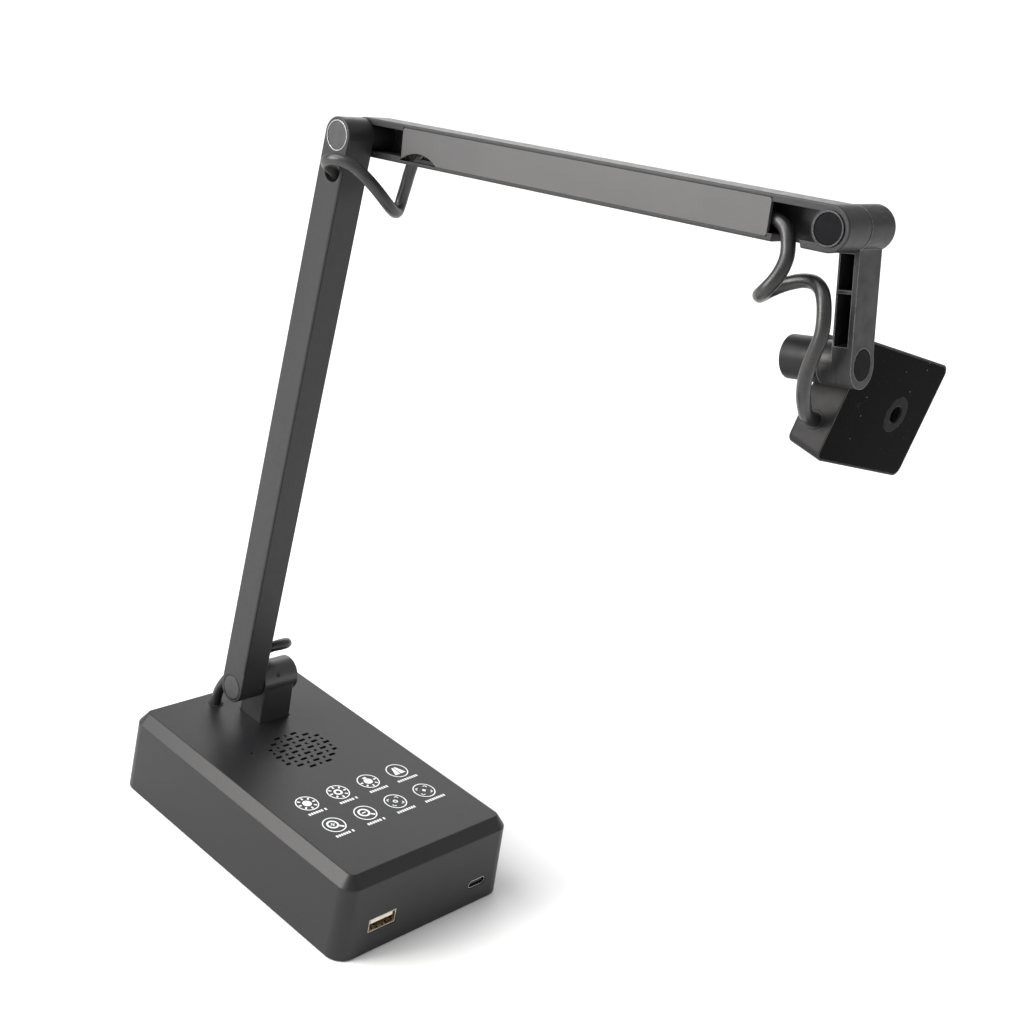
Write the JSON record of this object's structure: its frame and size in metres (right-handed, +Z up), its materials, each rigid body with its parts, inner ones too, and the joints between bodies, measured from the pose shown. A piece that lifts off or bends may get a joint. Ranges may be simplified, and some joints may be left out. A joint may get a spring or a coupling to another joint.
{
  "type": "document camera",
  "caption": "Folding document camera: flat base with touch keys, speaker slots and USB sockets, two slim hinged arms, a wrist link and a small tilting camera head",
  "frame": {"origin": "centre of the rubber pad's bottom face, where the camera stands on the table", "axes": "+Z up, the front edge with the two sockets faces -Y, +X to the right of a person in front of it; the arms lie in planes across X and reach forward over -Y"},
  "size_m": [0.1135, 0.2444, 0.2985],
  "materials": {
    "case_plastic": "satin black, fine texture",
    "pad_rubber": "matt",
    "grommet_rubber": "matt",
    "screw_steel": "black zinc screws",
    "ballast_steel": "zinc plated",
    "board_green": "solder resist",
    "socket_shell": "nickel plated",
    "socket_tongue": "off-white",
    "socket_dark": "black",
    "contact_gold": "gold plated",
    "speaker_black": "black",
    "speaker_magnet": "ferrite",
    "arm_metal": "satin black, fine powder coat",
    "cover_metal": "satin dark grey",
    "shaft_steel": "plain",
    "cap_black": "satin black",
    "ring_bright": "bright ring",
    "head_plastic": "satin dark grey",
    "head_panel": "gloss black",
    "thread_brass": "nickel plated, worn thread",
    "lens_black": "black",
    "lens_ring": "anodised",
    "lens_glass": "coated",
    "led_window": "diffusing",
    "cable_jacket": "smooth round jacket, slightly glossy"
  },
  "bodies": {
    "base": {"top_cover": "case_plastic", "bottom_cover": "case_plastic", "base_pad": "pad_rubber", "case_screws": "screw_steel", "ballast_plate": "ballast_steel", "main_board": "board_green", "usb_a_shell": "socket_shell", "usb_a_tongue": "socket_tongue", "usb_a_contacts": "contact_gold", "usb_c_shell": "socket_shell", "usb_c_tongue": "socket_dark", "touch_board": "board_green", "speaker_frame": "speaker_black", "speaker_magnet": "speaker_magnet", "speaker_cone": "speaker_black", "microphone": "speaker_black", "cable_grommet": "grommet_rubber", "hinge_post": "arm_metal", "post_screws": "screw_steel", "base_hinge_plug": "cap_black", "base_cable_tail": "cable_jacket", "base_cable_loop": "cable_jacket"},
    "lower_arm_body": {"lower_arm": "arm_metal", "lower_arm_cover": "cover_metal", "lower_arm_caps": "cap_black", "lower_arm_cap_rings": "ring_bright", "base_hinge_shaft": "shaft_steel", "base_hinge_nut": "shaft_steel", "elbow_shaft": "shaft_steel", "elbow_nut": "shaft_steel", "lower_arm_cable": "cable_jacket", "elbow_cable_loop": "cable_jacket"},
    "upper_arm_body": {"upper_arm": "arm_metal", "upper_arm_cover": "cover_metal", "upper_arm_plug": "cap_black", "wrist_cap": "cap_black", "wrist_cap_ring": "ring_bright", "wrist_shaft": "shaft_steel", "wrist_nut": "shaft_steel", "upper_arm_cable": "cable_jacket", "wrist_cable_loop": "cable_jacket"},
    "wrist_link_body": {"wrist_link": "arm_metal", "wrist_plug": "cap_black", "pivot_cap": "cap_black", "pivot_shaft": "shaft_steel", "pivot_nut": "shaft_steel"},
    "head": {"head_shell": "head_plastic", "head_panel": "head_panel", "tripod_insert": "thread_brass", "camera_board": "board_green", "lens_barrel": "lens_black", "lens_glass": "lens_glass", "lens_bezel": "lens_ring", "led_windows": "led_window", "led_board": "board_green", "board_screws": "screw_steel", "head_grommet": "grommet_rubber", "pivot_plug": "cap_black", "head_cable_tail": "cable_jacket", "head_cable_loop": "cable_jacket"}
  },
  "joints": [
    {"name": "base_hinge", "type": "hinge", "parent": "base", "child": "lower_arm_body", "pos_m": [0, 0.04112, 0.05091], "axis": [1, 0, 0], "range_deg": [-35, 85], "deforming": ["base_cable_loop"]},
    {"name": "elbow_hinge", "type": "hinge", "parent": "lower_arm_body", "child": "upper_arm_body", "pos_m": [0, 0.02363, 0.27413], "axis": [1, 0, 0], "range_deg": [-80, 45], "deforming": ["elbow_cable_loop"]},
    {"name": "wrist_hinge", "type": "hinge", "parent": "upper_arm_body", "child": "wrist_link_body", "pos_m": [0, -0.16352, 0.29201], "axis": [1, 0, 0], "range_deg": [-95, 56], "deforming": ["wrist_cable_loop"]},
    {"name": "head_tilt", "type": "hinge", "parent": "wrist_link_body", "child": "head", "pos_m": [0.0148, -0.17133, 0.25524], "axis": [0, 0.9781, -0.2079], "range_deg": [-18, 75], "deforming": ["head_cable_loop"]}
  ]
}
